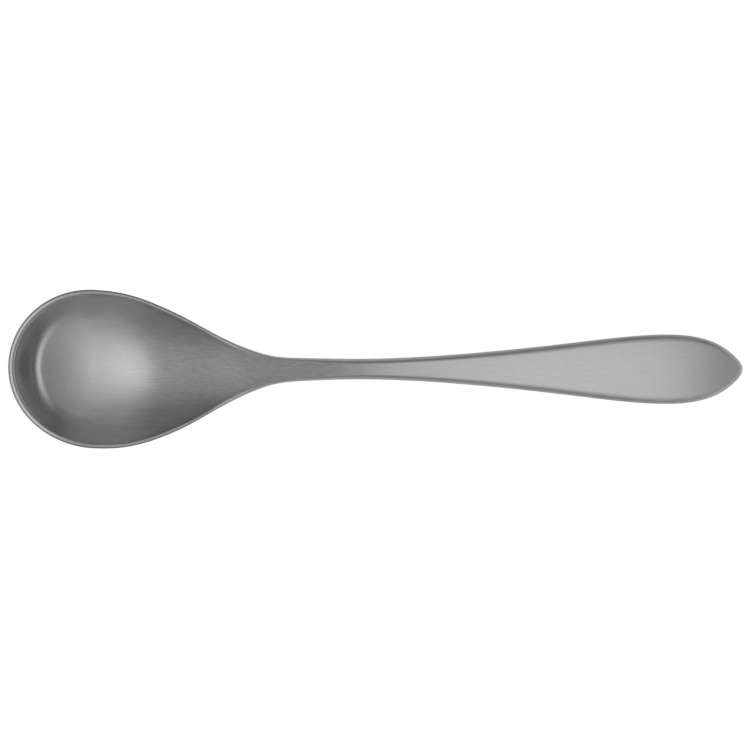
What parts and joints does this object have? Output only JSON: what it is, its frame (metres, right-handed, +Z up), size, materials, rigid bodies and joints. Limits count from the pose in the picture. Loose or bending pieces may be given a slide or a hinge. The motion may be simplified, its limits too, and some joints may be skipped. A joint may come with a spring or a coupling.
{
  "type": "demitasse spoon",
  "caption": "Small coffee spoon in one piece of satin steel, with an egg-shaped bowl, a slim neck and a handle that widens into a pointed leaf.",
  "frame": {"origin": "on the table, under the middle of the spoon's box, with the spoon lying on its belly and its handle's tip", "axes": "+X along the spoon from the bowl to the handle's tip, +Y across it, +Z up, out of the bowl"},
  "size_m": [0.112, 0.0242, 0.0098],
  "materials": {
    "satin_steel": "satin stainless steel, brushed lengthwise, with a rolled and smoothed edge"
  },
  "bodies": {
    "root": {"spoon": "satin_steel"}
  },
  "joints": []
}
